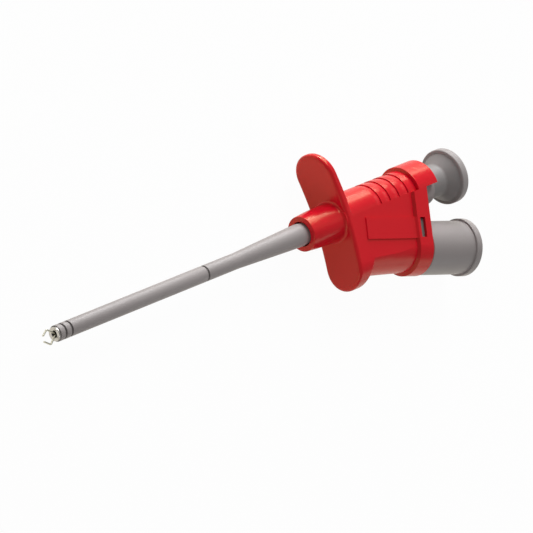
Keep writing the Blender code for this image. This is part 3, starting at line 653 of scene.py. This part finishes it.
GREY, SHADED_GREY, LATCH_SHADE_GREY = (0.39, 0.354, 0.349), (0.36, 0.326, 0.322), (0.20, 0.20, 0.193)
GREY_ROUGHNESS = 0.36
BARREL_RADIUS, COLLAR_RADIUS = 6.0, 6.46

barrel = turned(eased([
    (0.5, 2.8, 0), (0.5, 4.0, 0.3), (6.9, 4.0, 0), (6.9, 5.3, 0), (11.05, 5.3, 0),
    (11.05, BARREL_RADIUS, 0.15), (24.17, BARREL_RADIUS, 0), (24.17, COLLAR_RADIUS, 0.16),
    (25.94, COLLAR_RADIUS, 0.3), (25.94, 4.8, 0.15), (25.4, 4.6, 0.3), (7.3, 4.6, 0),
    (7.3, 2.8, 0)], 5))
web = worked(slab((7.05, 0, -4.7), (10.45, 9.5, 4.7)),
             ("UNION", slab((7.46, 1.67, -5.55), (8.89, 5.80, 5.55)), IDENTITY),
             ("DIFFERENCE", turned([(5, 0), (5, 4.95), (12, 4.95), (12, 0)], 72), IDENTITY))
guide = turned(eased([(111.3, 3.88, 0), (111.3, 4.38, 0), (118.0, 4.38, 0.12), (118.0, 4.1, 0),
                      (117.7, 3.88, 0.1)], 4))
stem_room = turned([(101, 0), (101, 4.68), (111.5, 4.68), (111.5, 4.13), (119, 4.13), (119, 0)],
                   80)
web = worked(web, ("DIFFERENCE", stem_room, IDENTITY), base_place=TO_SOCKET)
back_shell = worked(barrel, ("UNION", web, IDENTITY), ("UNION", guide, IDENTITY),
                    base_place=TO_SOCKET)

socket_plastic = moulded_plastic("socket_plastic", GREY, SHADED_GREY, GREY_ROUGHNESS)
socket_way = (SOCKET_AXIS.to_3x3() @ Vector((1, 0, 0))).normalized()
down_socket = socket_plastic.node(
    "ShaderNodeVectorMath", {"operation": "DOT_PRODUCT"},
    {0: socket_plastic.node("ShaderNodeTexCoord", output="Object"), 1: socket_way},
    output="Value") - SOCKET_AXIS.translation.dot(socket_way)
# Painted shade: the moulding is painted a dark grey up to 9.5 mm along the socket's axis, deep in
# the housing, so that the latch seen in the strap's windows looks shaded.
outside = down_socket.ramp(9.5 * MM, 10.5 * MM)
socket_plastic.feeds({"Base Color": socket_plastic.blend(outside, LATCH_SHADE_GREY, socket_plastic.tint)})
evenly_shaded(finished("socket_moulding_fine", back_shell, MAIN_AXIS, socket_plastic, "probe",
                       "socket_insert"))

# ---------------------------------------------------------------------------------------------
# Thumb button. Grey plastic, one moulding: a hollow stem that slides in the guide, a neck that
# flares out, and a round disc with a crowned face for the thumb. Neck and disc back are painted a
# darker grey as painted shade, and the rim a paler grey where it takes the light.

STEM_RADIUS, STEM_BORE, DISC_RADIUS = 3.63, 2.0, 6.3
button_outline = eased([
    (108.7, STEM_BORE, 0), (108.7, STEM_RADIUS, 0.2), (122.95, STEM_RADIUS, 1.3),
    (125.45, 5.48, 0.12), (125.58, DISC_RADIUS, 0.30), (127.4, DISC_RADIUS, 0.30),
    (127.55, 5.4, 1.2), (127.95, 2.6, 3.0), (128.0, 0, 0), (118.5, 0, 0),
    (118.5, STEM_BORE, 0)], 6)

# Painted shade and light: the button's own grey below is darker, for its shaded neck and disc
# back, and its rim is painted a paler grey where it takes the light.
LIT_RIM_GREY = (0.40, 0.367, 0.363)
button_plastic = moulded_plastic("button_plastic", (0.31, 0.296, 0.293), (0.285, 0.272, 0.269),
                                 0.52)
rim = from_main_axis(button_plastic).ramp(5.85 * MM, 6.25 * MM)
button_plastic.feeds({"Base Color": button_plastic.blend(rim, button_plastic.tint, LIT_RIM_GREY)})
finished("thumb_button_fine", turned(button_outline, 128), MAIN_AXIS, button_plastic, "plunger",
         "thumb_button")

# ---------------------------------------------------------------------------------------------
# Lead contact. A turned and slit brass tube, nickel-plated, that takes the plug's 4 mm pin,
# inside a grey sleeve that keeps fingers off it.

PIN_BORE, CONTACT_RADIUS, HALF_SLIT = 2.04, 2.5, 0.25
contact_outline = eased([
    (3.0, 0, 0), (3.0, PIN_BORE, 0), (24.0, PIN_BORE, 0), (24.3, 2.3, 0.05),
    (24.3, CONTACT_RADIUS, 0.1), (8.3, CONTACT_RADIUS, 0), (8.3, 3.2, 0.1), (7.6, 3.2, 0.1),
    (7.6, CONTACT_RADIUS, 0), (0.2, CONTACT_RADIUS, 0), (-1.1, CONTACT_RADIUS, 0.1),
    (-1.1, 0.8, 0), (1.6, 0.8, 0), (1.6, 0, 0)], 4)
contact_tube = worked(
    turned(contact_outline, 72),
    ("DIFFERENCE", slab((12, -HALF_SLIT, -4), (26, HALF_SLIT, 4)), IDENTITY),
    ("DIFFERENCE", slab((12, -4, -HALF_SLIT), (26, 4, HALF_SLIT)), IDENTITY))
finished("lead_contact_fine", contact_tube, SOCKET_AXIS, nickel, "probe", "socket_contact")

grey_plastic = moulded_plastic("grey_plastic", GREY, SHADED_GREY, GREY_ROUGHNESS)
sleeve_outline = eased([(8.6, 2.8, 0), (8.6, 3.3, 0.1), (25.0, 3.3, 0.12), (25.0, 2.8, 0.08)], 4)
finished("contact_sleeve_fine", turned(sleeve_outline, 72), SOCKET_AXIS, grey_plastic, "probe",
         "contact_sleeve")

# ---------------------------------------------------------------------------------------------
# Return spring. Round steel wire wound to a cylinder with closed ends. It stands on its washer
# and pushes the stem back.

TURNS, STEPS, WIRE_SIDES = 7, 28, 10
SPRING_RADIUS, WIRE_RADIUS = 2.9, 0.25
PLUNGER_TRAVEL = 5.0

spring_low, spring_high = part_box("return_spring")
first_x = (spring_low[0] - main_x) / MM + WIRE_RADIUS
last_x = (spring_high[0] - main_x) / MM - WIRE_RADIUS
spring_length = last_x - first_x + 2 * WIRE_RADIUS
spring = bmesh.new()
spring_rows = []
for i in range(TURNS * STEPS + 1):
    angle = math.tau * i / STEPS
    share = i / (TURNS * STEPS)
    centre = Vector((first_x + (last_x - first_x) * share, SPRING_RADIUS * math.cos(angle),
                     SPRING_RADIUS * math.sin(angle)))
    radial = Vector((0, math.cos(angle), math.sin(angle)))
    row = []
    for k in range(WIRE_SIDES):
        turn = math.tau * k / WIRE_SIDES
        row.append(spring.verts.new(centre + radial * WIRE_RADIUS * math.cos(turn)
                                    + Vector((1, 0, 0)) * WIRE_RADIUS * math.sin(turn)))
    spring_rows.append(row)
join_rows(spring, spring_rows)
spring.faces.new(spring_rows[0])
spring.faces.new(spring_rows[-1])
coil = finished("return_spring_fine", spring, MAIN_AXIS, spring_steel, "probe", "return_spring",
                50)
(spring_length - PLUNGER_TRAVEL) / spring_length
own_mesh(coil)

# ---------------------------------------------------------------------------------------------
# Pieces inside. The liner, rod, crimp, bush, washer, stop ring, insert, clip, leaf and rivet keep
# their own shapes, in bright steel or turned brass.

turned_brass = plated_metal("turned_brass", (0.78, 0.60, 0.30), (0.66, 0.49, 0.23), 0.30)
for node, finish in (("inner_tube", spring_steel), ("push_rod", spring_steel),
                     ("jaw_crimp", turned_brass), ("contact_bush", turned_brass),
                     ("spring_washer", spring_steel), ("stop_ring", spring_steel),
                     ("rod_insert", turned_brass), ("contact_clip", spring_steel),
                     ("leaf_contact", turned_brass), ("leaf_rivet", turned_brass)):
    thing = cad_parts[node]
    if not thing.material_slots:
        thing.data.materials.append(finish.material)
    for slot in thing.material_slots:
        slot.link = "OBJECT"
        slot.material = finish.material
